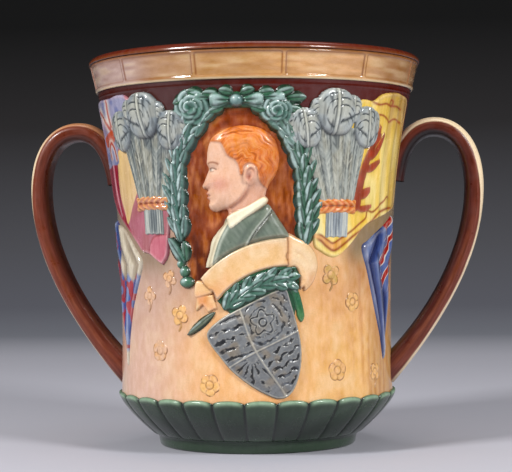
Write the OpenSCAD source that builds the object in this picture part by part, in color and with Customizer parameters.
// Two-handled loving cup in glazed earthenware, with relief ornament on both sides.
// Millimetres. +Z up, origin at the centre of the foot, handles along X, front along -Y.
// Every ornament is a separately moulded relief laid on the wall, and it follows the wall's own curve.

/* [Vessel] */
// Height from the table to the top of the lip
height = 261; // [246:1:288]
// Outer radius of the wall under the lip
rim_r = 111; // [106:0.5:118]
// Outer radius of the wall at the waist
waist_r = 91.6; // [86:0.2:97]
// Height of the waist
waist_z = 87; // [72:1:102]
// How late the wall flares towards the rim, as a power
flare = 2.2; // [1.8:0.1:2.8]
// How much the wall widens again below the waist
skirt = 0.7; // [0:0.1:2]
// Thickness of the wall
wall_t = 6.5; // [5:0.5:8]
// Thickness of the floor over the hollow of the foot
floor_t = 9; // [7:0.5:12]

/* [Foot] */
// Radius of the foot where it stands
foot_r = 67.5; // [62:0.5:74]
// Height of the foot ring
foot_h = 8; // [6:0.5:10]
// Width of the ring that stands on the table
foot_ring_w = 10; // [8:0.5:14]
// Depth of the hollow inside the foot ring
foot_hollow = 5; // [3:0.5:6]

/* [Fluted base] */
// Height where the petals end
bowl_z = 36; // [32:0.5:42]
// How round the bowl is under the petals, as a power: 1 is a straight cone
bowl_turn = 1.4; // [1.1:0.1:2]
// Number of petals
petals = 28; // [20:2:36]
// How far a petal stands out of the bowl
petal_t = 2.4; // [2:0.1:3.5]
// Thickness left in the grooves between petals
groove_t = 0.7; // [0.5:0.1:1.2]
// How far a petal's rounded top rises over its corners
scallop = 3; // [1:0.5:4]

/* [Rim band] */
// Height of the band
band_h = 18.5; // [14:0.5:22]
// Thickness of the band
band_t = 1.3; // [1:0.1:2]
// Number of panels
panels = 12; // [8:2:16]
// Depth of a panel
panel_depth = 0.7; // [0.4:0.1:0.8]
// Width of the border round a panel
panel_border = 2.4; // [1.5:0.1:3]

/* [Handles] */
// Width of the strap across the handle
strap_w = 24; // [18:0.5:30]
// Thickness of the strap
strap_t = 13; // [10:0.5:15]
// Distance from the cup's axis to the middle of the strap at its widest
reach = 148.5; // [142:0.5:158]
// Height of the middle of the strap at its top
arch_z = 213.5; // [206:0.5:219]
// Height where the middle of the strap meets the wall at the bottom
heel_z = 51.5; // [51:0.5:58]
// How much thicker the strap grows at its heel, as a factor
heel_flare = 1.3; // [1:0.05:1.4]
// Radius of the strap's long edges
strap_edge = 3.2; // [2:0.1:4]

/* [Relief] */
// Depth of the slip that holds a relief or a handle on the wall
slip = 0.2; // [0.1:0.05:0.3]
// Thickness of a relief at its edge
edge_t = 0.7; // [0.5:0.1:1]
// Room left between one relief and the next
room = 0.8; // [0.5:0.1:1.5]
// Half the width of the wreath, to the middle of its leaves
wreath_rx = 43.5; // [41:0.5:46]
// Rise of the wreath from its widest line to its top
wreath_ry = 55; // [52:0.5:57]
// Length of a laurel leaf
leaf_l = 12.5; // [10:0.5:14]
// Width of a laurel leaf
leaf_w = 5.4; // [4:0.2:6.4]
// Height of a laurel leaf over the wall
leaf_t = 2.8; // [1.5:0.1:3.5]
// Height of the head from chin to crown
head_h = 50; // [44:0.5:52]
// Height of the head over the wall
head_t = 6; // [4:0.5:8]
// Length of a plume's middle feather
plume_l = 64; // [56:0.5:66]
// Height of a plume over the wall at its curled heads
plume_t = 6.5; // [4:0.5:8]
// Height of the tie that binds a plume
tie_h = 8; // [6:0.5:9]
// Width of the ribbon
ribbon_w = 18; // [15:0.5:18.5]
// Thickness of the ribbon
ribbon_t = 1.8; // [1:0.1:2.5]
// Length of the shield
shield_l = 60; // [54:0.5:61]
// Width of the shield
shield_w = 56; // [48:0.5:57]
// Height of the shield's crown over its edge
shield_t = 2.4; // [1:0.1:3.5]
// Lean of the shield, in degrees
shield_lean = 27; // [24:0.5:29]
// Height of the folds of the drapes and pennants
fold_t = 2; // [1:0.1:3]
// Radius of a scattered flower
flower_r = 6.4; // [4.5:0.1:6.8]
// Height of a scattered flower over the wall
flower_t = 1.1; // [0.8:0.1:1.6]

/* [Hidden] */
$fn = 96;

// Glaze colours
cream = [0.90, 0.74, 0.56];
tan = [0.78, 0.64, 0.44];
chestnut = [0.36, 0.13, 0.07];
leaf_green = [0.22, 0.40, 0.33];
base_green = [0.12, 0.26, 0.18];
plume_grey = [0.50, 0.56, 0.56];
tie_orange = [0.80, 0.38, 0.14];
flesh = [0.92, 0.68, 0.55];
crimson = [0.66, 0.20, 0.30];
straw = [0.90, 0.76, 0.34];
flag_blue = [0.18, 0.26, 0.52];
slate = [0.36, 0.38, 0.40];

// The wall

lip_side = 0.3;
lip_r = (wall_t + band_t + lip_side) / 2;
wall_top = height - lip_r;
band_top = wall_top - slip;
band_z = band_top - band_h;
wall_steps = 26;
bowl_steps = 4;
neck_r = foot_r + 1.5;
ring_slope = 1;

function flare_r(z) =
    let (up = max(0, (z - waist_z) / (wall_top - waist_z)), down = max(0, (waist_z - z) / (waist_z - bowl_z)))
    waist_r + (rim_r - waist_r) * pow(up, flare) + skirt * pow(down, 2);
// The bowl rounds out from the neck over the foot to the foot of the wall
function bowl_r(z) =
    let (down = 1 - (max(z, foot_h) - foot_h) / (bowl_z - foot_h))
    neck_r + (flare_r(bowl_z) - neck_r) * (1 - pow(max(0, down), bowl_turn));
function wall_r(z) = z < bowl_z ? bowl_r(z) : flare_r(z);
function bowl_height(k) = foot_h + (bowl_z - foot_h) * k / bowl_steps;
bowl_line = [for (k = [0:bowl_steps]) [bowl_r(bowl_height(k)), bowl_height(k)]];
wall_line = [for (k = [1:wall_steps]) let (z = bowl_z + (wall_top - bowl_z) * k / wall_steps) [flare_r(z), z]];

// The solid inside the wall's outer face, grown by the slip
module wall_core(grow) {
    grown = [for (p = concat(bowl_line, wall_line)) [p[0] + grow, p[1]]];
    rotate_extrude()
        polygon(concat([[0, foot_h]], grown, [[0, wall_top]]));
}

module cup_body() {
    floor_z = foot_hollow + floor_t;
    // The inside turns up from the floor in a quarter of an ellipse
    turn_z = bowl_z + wall_t;
    turn_r = flare_r(turn_z) - wall_t;
    flat_r = neck_r - 1.6 * wall_t;
    inner_wall = [for (k = [wall_steps:-1:0])
        let (z = turn_z + (wall_top - turn_z) * k / wall_steps) [flare_r(z) - wall_t, z]];
    inner_turn = [for (k = [1:bowl_steps])
        let (q = 90 * k / bowl_steps)
        [flat_r + (turn_r - flat_r) * cos(q), turn_z - (turn_z - floor_z) * sin(q)]];
    foot = [
        [0, foot_hollow], [foot_r - foot_ring_w - ring_slope, foot_hollow], [foot_r - foot_ring_w, 0],
        [foot_r - ring_slope, 0], [foot_r, foot_h * 0.7]
    ];
    lip_x = rim_r - wall_t + lip_r;
    color(cream)
    rotate_extrude()
    union() {
        polygon(concat(foot, bowl_line, wall_line, inner_wall, inner_turn, [[0, floor_z]]));
        intersection() {
            translate([lip_x, wall_top])
                circle(lip_r);
            translate([lip_x - 2 * lip_r, wall_top])
                square([4 * lip_r, 2 * lip_r]);
        }
    }
}

// A ring on the wall between two heights, from one depth to another
module wall_ring(z_low, z_high, h_in, h_out, turn) {
    steps = 3;
    levels = [for (k = [0:steps]) z_low + (z_high - z_low) * k / steps];
    outward = [for (z = levels) [wall_r(z) + h_out, z]];
    inward = [for (k = [steps:-1:0]) [wall_r(levels[k]) + h_in, levels[k]]];
    rotate_extrude(angle = turn)
        polygon(concat(outward, inward));
}

module rim_band() {
    pitch = 360 / panels;
    border_a = panel_border * 180 / (PI * wall_r(band_z));
    sink = 1;
    color(tan)
    difference() {
        wall_ring(band_z, band_top, slip, band_t, 360);
        for (k = [0:panels - 1])
            rotate([0, 0, k * pitch - 90 - (pitch - border_a) / 2])
                wall_ring(band_z + panel_border, band_top - panel_border,
                    band_t - panel_depth, band_t + sink, pitch - border_a);
    }
}

// The base's petals: one lobed ring with a scalloped top, seated on the bowl
module fluted_base() {
    steps = 6;
    columns = petals * steps;
    under = foot_h + 0.6;
    rise = 1;
    function across(i) = 2 * (i % steps) / steps - 1;
    // A petal is broad and flat across, with a narrow groove to each side, and its top is round
    function depth(i) = groove_t + (petal_t - groove_t) * sqrt(max(0, 1 - pow(across(i), 4)));
    function top(i) = bowl_z + rise + scallop * (sqrt(max(0, 1 - pow(across(i), 2))) - 1);
    function level(i, k) = k == 0 ? under : min(bowl_height(k), top(i) - rise);
    // The section of one column: up the outside, over the rounded top, and down the bowl
    function section(i) = concat(
        [for (k = [0:bowl_steps - 1]) let (z = level(i, k)) [wall_r(z) + depth(i), z]],
        [[wall_r(top(i)) + depth(i) * 0.8, top(i)]],
        [[wall_r(top(i)) + slip, top(i)]],
        [for (k = [bowl_steps:-1:0]) let (z = level(i, k)) [wall_r(z) + slip, z]]
    );
    rows = 2 * bowl_steps + 3;
    points = [for (i = [0:columns - 1]) for (p = section(i))
        let (a = 360 * i / columns) [p[0] * cos(a), p[0] * sin(a), p[1]]];
    function at(i, k) = (i % columns) * rows + k % rows;
    faces = [for (i = [0:columns - 1]) for (k = [0:rows - 1]) each [
        [at(i, k), at(i, k + 1), at(i + 1, k + 1)],
        [at(i, k), at(i + 1, k + 1), at(i + 1, k)]
    ]];
    color(base_green)
        polyhedron(points, faces);
}

// Handles

function bezier(p, t) =
    let (u = 1 - t) u * u * u * p[0] + 3 * u * u * t * p[1] + 3 * u * t * t * p[2] + t * t * t * p[3];

// The strap rises out of the wall, arches over, and sweeps down to the heel
module handle() {
    root_z = arch_z - 36;
    root = [flare_r(root_z) - 1.5, root_z];
    crown = [(flare_r(arch_z) + reach) / 2 - 3.5, arch_z];
    widest = [reach, arch_z - 40];
    heel = [flare_r(heel_z) - 5, heel_z - 5];
    curves = [
        [root, root + [3, 23], crown + [-14, 0], crown],
        [crown, crown + [16, 0], widest + [0, 25], widest],
        [widest, widest + [0, -45], heel + [34, 36], heel]
    ];
    steps = [8, 9, 13];
    line = concat(
        [for (c = [0:2]) for (k = [0:steps[c] - 1]) bezier(curves[c], k / steps[c])],
        [heel]
    );
    last = len(line) - 1;
    function heading(i) = let (d = line[min(i + 1, last)] - line[max(i - 1, 0)]) d / norm(d);
    flare_from = 0.7;
    function thick(i) = 1 + (heel_flare - 1) * pow(max(0, i / last - flare_from) / (1 - flare_from), 2);
    // Half the strap's section, from the middle of its outer face round to its inner face
    half_t = strap_t / 2;
    half_w = strap_w / 2;
    crest = 0.8;
    quarter = [
        [half_t, half_w - 2 * strap_edge], [half_t - strap_edge * 0.35, half_w - strap_edge * 0.55],
        [half_t - strap_edge * 1.1, half_w], [-half_t + strap_edge * 0.6, half_w],
        [-half_t, half_w - strap_edge]
    ];
    section = concat([[half_t + crest, 0]], quarter, [[-half_t - crest / 2, 0]],
        [for (k = [4:-1:0]) [quarter[k][0], -quarter[k][1]]]);
    sides = len(section);
    points = [for (i = [0:last]) for (q = section)
        let (d = heading(i), out = [-d[1], d[0]], p = line[i] + out * q[0] * thick(i))
        [p[0], q[1], p[1]]];
    function at(i, k) = i * sides + k % sides;
    faces = concat(
        [for (i = [0:last - 1]) for (k = [0:sides - 1]) each [
            [at(i, k), at(i + 1, k + 1), at(i, k + 1)],
            [at(i, k), at(i + 1, k), at(i + 1, k + 1)]
        ]],
        [for (k = [1:sides - 2]) each [
            [at(0, 0), at(0, k), at(0, k + 1)],
            [at(last, 0), at(last, k + 1), at(last, k)]
        ]]
    );
    color(chestnut)
    difference() {
        polyhedron(points, faces);
        wall_core(slip);
    }
}

module handle_left() {
    rotate([0, 0, 180])
        handle();
}

module handle_right() {
    handle();
}

// Relief

// The ornament is drawn on a flat sheet that wraps once round the wall, between the petals and the rim band.
// On the sheet, x runs to the right from the middle of the front and y runs up from the petals.
sheet_w = 600;
sheet_h = 196;
medallion = [0, 129];
shield_tip = [28.5, 3.5];
plume_x = wreath_rx + 22;
tie_y = 121.5;

// The place on the wall of a point on the sheet, h out of the wall
function on_wall(x, y, h) =
    let (a = 360 * x / sheet_w, z = bowl_z + y * (band_z - bowl_z) / sheet_h, r = wall_r(z) + h)
    [r * sin(a), -r * cos(a), z];
// A point turned about the origin and moved to a place
function placed(place, tilt, x, y) =
    place + [x * cos(tilt) - y * sin(tilt), x * sin(tilt) + y * cos(tilt)];

// Cross-sections of a relief, from -1 at one edge to 1 at the other
dome = function(s) sqrt(max(0, 1 - s * s));
folds = function(s) 0.5 + 0.5 * cos(450 * s);
rolled = function(s) 0.6 + 0.4 * s * s;

// A relief on the wall. Each station is [x, y, turn, half width, crown]: a cross-line of the relief, from its
// foot to its top, about a place on the sheet and leaning by tilt degrees.
module relief(place, tilt, stations, columns, profile) {
    last = len(stations) - 1;
    function spot(i, j) =
        let (q = stations[i], s = 2 * j / columns - 1)
        placed(place, tilt, q[0] + q[3] * s * cos(q[2]), q[1] + q[3] * s * sin(q[2]));
    function rise(i, j) = edge_t + stations[i][4] * profile(2 * j / columns - 1);
    grid = [for (i = [0:last]) for (j = [0:columns]) [i, j]];
    points = concat(
        [for (g = grid) let (p = spot(g[0], g[1])) on_wall(p[0], p[1], slip + rise(g[0], g[1]))],
        [for (g = grid) let (p = spot(g[0], g[1])) on_wall(p[0], p[1], slip)]
    );
    under = len(grid);
    function at(i, j) = i * (columns + 1) + j;
    faces = concat(
        [for (i = [0:last - 1]) for (j = [0:columns - 1]) each [
            [at(i, j), at(i + 1, j), at(i + 1, j + 1)],
            [at(i, j), at(i + 1, j + 1), at(i, j + 1)],
            [under + at(i, j), under + at(i + 1, j + 1), under + at(i + 1, j)],
            [under + at(i, j), under + at(i, j + 1), under + at(i + 1, j + 1)]
        ]],
        [for (i = [0:last - 1]) each concat(
            edge(at(i + 1, 0), at(i, 0), under),
            edge(at(i, columns), at(i + 1, columns), under)
        )],
        [for (j = [0:columns - 1]) each concat(
            edge(at(0, j), at(0, j + 1), under),
            edge(at(last, j + 1), at(last, j), under)
        )]
    );
    polyhedron(points, faces);
}
// The upright edge of a relief between two of its points
function edge(p, q, under) = [[p, q, under + q], [p, under + q, under + p]];

// A laurel leaf with a raised midrib: its stalk is at a place on the sheet and its tip lies towards turn degrees
module leaf(place, turn, length = leaf_l, width = leaf_w) {
    ribs = [[0.2, 0.62], [0.5, 1], [0.8, 0.6]];
    function spot(along, side, h) =
        let (p = placed(place, turn, along * length, side * width / 2)) on_wall(p[0], p[1], slip + h);
    points = concat(
        [spot(0, 0, 0)],
        [for (r = ribs) each [spot(r[0], r[1], 0), spot(r[0], 0, leaf_t * r[1]), spot(r[0], -r[1], 0)]],
        [spot(1, 0, leaf_t * 0.25)]
    );
    tip = len(points) - 1;
    faces = concat(
        [for (k = [0:2]) [0, 1 + k, 1 + (k + 1) % 3]],
        [for (i = [0:1]) for (k = [0:2])
            let (p = 1 + 3 * i + k, q = 1 + 3 * i + (k + 1) % 3) each [[p, p + 3, q + 3], [p, q + 3, q]]],
        [for (k = [0:2]) [tip, tip - 3 + (k + 1) % 3, tip - 3 + k]]
    );
    polyhedron(points, faces);
}

// A five-lobed flower with a raised middle
module flower(place, radius, crown) {
    ring = 15;
    valley = 0.72;
    function spot(k, h) =
        let (r = k % 3 == 0 ? radius * valley : radius, p = placed(place, 360 * k / ring + 90, r, 0))
        on_wall(p[0], p[1], slip + h);
    points = concat(
        [for (k = [0:ring - 1]) spot(k, crown * 0.6)],
        [for (k = [0:ring - 1]) spot(k, 0)],
        [on_wall(place[0], place[1], slip + crown), on_wall(place[0], place[1], slip)]
    );
    faces = [for (k = [0:ring - 1]) let (n = (k + 1) % ring) each [
        [k, 2 * ring, n], [ring + n, 2 * ring + 1, ring + k], [k, n, ring + n], [k, ring + n, ring + k]
    ]];
    polyhedron(points, faces);
}

// Two laurel branches hang from a row of rosettes. The left one runs on down past the ribbon's end.
module wreath() {
    spread = 28;
    pitch = 8;
    rosettes = [[0, 1, 5], [11, 0.5, 5], [26, -5, 8.5]];
    fall_ry = 103;
    shoulder = PI / 2 * sqrt((pow(wreath_rx, 2) + pow(wreath_ry, 2)) / 2);
    start = 37;
    plume_start = 67;
    left_end = 60;
    right_end = 33;
    // The branch's line at a distance from the top: an ellipse's shoulder, then a slower one down the side
    function angle(s) = s < shoulder ? 90 * (1 - s / shoulder) : asin((shoulder - s) / fall_ry);
    function branch(s) =
        let (q = angle(s), ry = q > 0 ? wreath_ry : fall_ry)
        [wreath_rx * cos(q), ry * sin(q), atan2(-ry * cos(q), wreath_rx * sin(q))];
    color(leaf_green) {
        for (hand = [-1, 1], side = [-1, 1])
            let (end = shoulder + (hand < 0 ? left_end : right_end) - leaf_l)
            for (s = [side > 0 ? plume_start : start:pitch:end])
                let (p = branch(s), turn = p[2] + side * spread)
                leaf(medallion + [hand * p[0], p[1]], hand > 0 ? turn : 180 - turn);
        for (r = rosettes, hand = r[0] > 0 ? [-1, 1] : [1])
            flower(medallion + [hand * r[0], wreath_ry + r[1]], r[2], leaf_t + r[2] / 4);
    }
}

// A head in profile with neck and shoulders, on plain school proportions: the eyes half way up the head, the
// nose's base half way from there to the chin. Head rows are [height, front, back] in heads, from the chin up.
module bust() {
    chin_y = -12;
    head = [
        [0.00, -0.36, 0.22], [0.06, -0.43, 0.24], [0.14, -0.42, 0.27], [0.20, -0.44, 0.30], [0.25, -0.43, 0.33],
        [0.30, -0.51, 0.35], [0.40, -0.45, 0.39], [0.48, -0.41, 0.43], [0.56, -0.43, 0.46], [0.70, -0.41, 0.48],
        [0.82, -0.33, 0.44], [0.92, -0.19, 0.33], [1.00, -0.02, 0.14]
    ];
    // The coat's rows lean, so that its hem follows the ribbon
    coat = [[5.5, -29.5, 17, 22.5], [5, -25, 14, 19.5], [4, -20.5, 9, 14.5], [2.5, -16, 4, 10.5]];
    color(flesh)
        relief(medallion, 0, concat(
            [for (c = coat) [c[0], c[1], c[2], c[3], head_t * 0.6]],
            [for (r = head)
                [head_h * (r[1] + r[2]) / 2, chin_y + head_h * r[0], 0, head_h * (r[2] - r[1]) / 2, head_t]]
        ), 6, dome);
}

// One feather: a narrow vane that opens into a heavy head, and bends away from the middle of the plume
module feather(place, lean, bend, length, stem_w, head_w) {
    line = [[0.00, 0.00], [0.35, 0.08], [0.56, 0.30], [0.72, 0.80], [0.84, 1.00], [0.94, 0.84], [1.00, 0.40]];
    relief(place, 0, [for (q = line)
        let (turn = lean + bend * q[0] * q[0])
        [length * q[0] * sin(turn), length * q[0] * cos(turn), -turn,
            stem_w / 2 + (head_w - stem_w) / 2 * q[1], plume_t * (0.25 + 0.75 * q[1])]
    ], 2, dome);
}

// A fan of five feathers bound by a tie, with the quills below it
module plume(side) {
    fan = [[0, 1, 13], [1, 0.93, 11.6], [2, 0.78, 10]];
    pitch_x = 5.2;
    pitch_a = 8.5;
    curl = 2.5;
    quills = 5;
    quill_l = 17;
    above = [side * plume_x, tie_y + tie_h / 2 + room];
    color(plume_grey) {
        for (f = fan, hand = f[0] > 0 ? [-1, 1] : [1])
            let (k = hand * f[0])
            feather(above + [k * pitch_x, 0], k * pitch_a, k * curl, plume_l * f[1], pitch_x - room, f[2]);
        relief([side * plume_x, tie_y - tie_h / 2 - room], 0,
            [for (y = [-quill_l, 0]) [0, y, 0, quills * pitch_x / 2 - 4, 1.6]],
            2 * quills, function(s) 0.5 - 0.5 * cos(180 * quills * (s + 1)));
    }
}

// The band that binds a plume
module tie(side) {
    half_w = 13.5;
    crown = 2.4;
    color(tie_orange)
        relief([side * plume_x, tie_y], 0,
            [for (k = [-1:1]) [0, k * tie_h / 2, 0, half_w, crown * (1 - 0.6 * abs(k))]], 4, function(s) 1);
}

// A scroll of ribbon across the foot of the medallion, with a turned tail at each end
ribbon_r = 70;
ribbon_end = [29, 91.5];
module ribbon() {
    sweep = 47;
    steps = 8;
    tail_w = 13;
    curl_r = 9;
    curl = ribbon_end + [7.5, -10];
    drop = [-27, 62];
    color(cream) {
        relief(ribbon_end - [0, ribbon_r], 0, [for (k = [0:steps])
            let (q = sweep * (1 - k / steps))
            [-ribbon_r * sin(q), ribbon_r * cos(q), q - 90, ribbon_w / 2, ribbon_t]], 4, rolled);
        // The right tail curls over and back under the scroll
        relief(curl, 0, [for (q = [58:-27:-77])
            [curl_r * cos(q), curl_r * sin(q), q + 180, tail_w / 2 - room, ribbon_t]], 2, dome);
        // The left tail drops behind the scroll's end
        relief(drop, 0, [for (k = [0:2]) [2 * k, -4.5 * k, 180, tail_w / 2 * (1 - 0.25 * k), ribbon_t]], 2, dome);
    }
}

// Laurel leaves that show between the ribbon and the shield, and one that trails to the left
module spray() {
    arc_r = ribbon_r - ribbon_w / 2 - room - 1;
    fan = [42:-9.5:4];
    long = 10;
    color(leaf_green) {
        for (q = fan)
            leaf(ribbon_end - [0, ribbon_r] + (arc_r - long) * [-sin(q), cos(q)], 90 + q - 18, long, leaf_w);
        leaf([-27.5, 50.5], 216, leaf_l * 1.2, leaf_w);
        leaf([36, 66], -80, leaf_l * 1.2, leaf_w);
    }
}

// A heater shield: straight shoulders, and sides that sweep in to the point
module shield() {
    rows = [[0, 0.05], [0.08, 0.33], [0.2, 0.58], [0.36, 0.8], [0.55, 0.94], [0.78, 1], [1, 0.97]];
    color(slate)
        relief(shield_tip, shield_lean,
            [for (r = rows) [0, shield_l * r[0], 0, shield_w / 2 * r[1], shield_t]], 8, dome);
}

// Cloth in folds. Each station is [x, y, turn, half width] on the right half of the sheet.
module cloth(side, stations, columns) {
    relief([0, 0], 0, [for (q = stations) [side * q[0], q[1], side * q[2], q[3], fold_t]], columns, folds);
}

// The drape hangs behind a plume: its point lies below the quills, and it widens towards the handle
module drape(side) {
    quills = plume_x - 65;
    color(side < 0 ? crimson : straw)
        cloth(side, [
            [53 + quills, 95.5, -80, 3], [61 + quills, 93, -90, 5], [69 + quills, 92.2, -90, 5.5],
            [77 + quills, 93.8, -78, 6.5], [84.5 + quills, 98.8, -61, 8], [91 + quills, 106, -45, 10.5],
            [96.5 + quills, 114, -34, 13],
            [102 + quills, 122.5, -25, 15.5], [107 + quills, 132, -15, 17.5], [112, 142, -6, 18],
            [114.5, 155, 0, 16], [115.5, 170, 0, 16], [113, 183, 0, 15], [109, 190, 0, 10]
        ], 6);
}

// A pennant hangs in folds below the drape and tapers to its tip. Rows are [height, inner edge, outer edge].
module pennant(side) {
    rows = side < 0
        ? [[22, 101, 104], [36, 97, 109], [52, 91, 115], [68, 86, 121], [80, 82, 126], [86, 85, 129]]
        : [[22, 112, 114], [36, 109, 117], [52, 104.5, 121], [68, 99, 125], [80, 95, 128], [90, 92, 131]];
    color(flag_blue)
        cloth(side, [for (r = rows) [(r[1] + r[2]) / 2, r[0], 0, (r[2] - r[1]) / 2]], 5);
}

module flowers() {
    places = [
        [-72.5, 64.5], [-45, 53], [-62.5, 30.5], [-23, 10.5], [-53, 75.5],
        [60.5, 77], [79, 60], [65, 18], [103, 15]
    ];
    color(straw)
        for (p = places)
            flower(p, flower_r, flower_t);
}

// Each ornament stands on the front, and again on the back
module back() {
    rotate([0, 0, 180])
        children();
}

cup_body();
rim_band();
fluted_base();
handle_left();
handle_right();
wreath();  // wreath_front
bust();  // bust_front
ribbon();  // ribbon_front
spray();  // spray_front
shield();  // shield_front
flowers();  // flowers_front
plume(-1);  // plume_front_left
plume(1);  // plume_front_right
tie(-1);  // tie_front_left
tie(1);  // tie_front_right
drape(-1);  // drape_front_left
drape(1);  // drape_front_right
pennant(-1);  // pennant_front_left
pennant(1);  // pennant_front_right
back() wreath();  // wreath_back
back() bust();  // bust_back
back() ribbon();  // ribbon_back
back() spray();  // spray_back
back() shield();  // shield_back
back() flowers();  // flowers_back
back() plume(-1);  // plume_back_left
back() plume(1);  // plume_back_right
back() tie(-1);  // tie_back_left
back() tie(1);  // tie_back_right
back() drape(-1);  // drape_back_left
back() drape(1);  // drape_back_right
back() pennant(-1);  // pennant_back_left
back() pennant(1);  // pennant_back_right
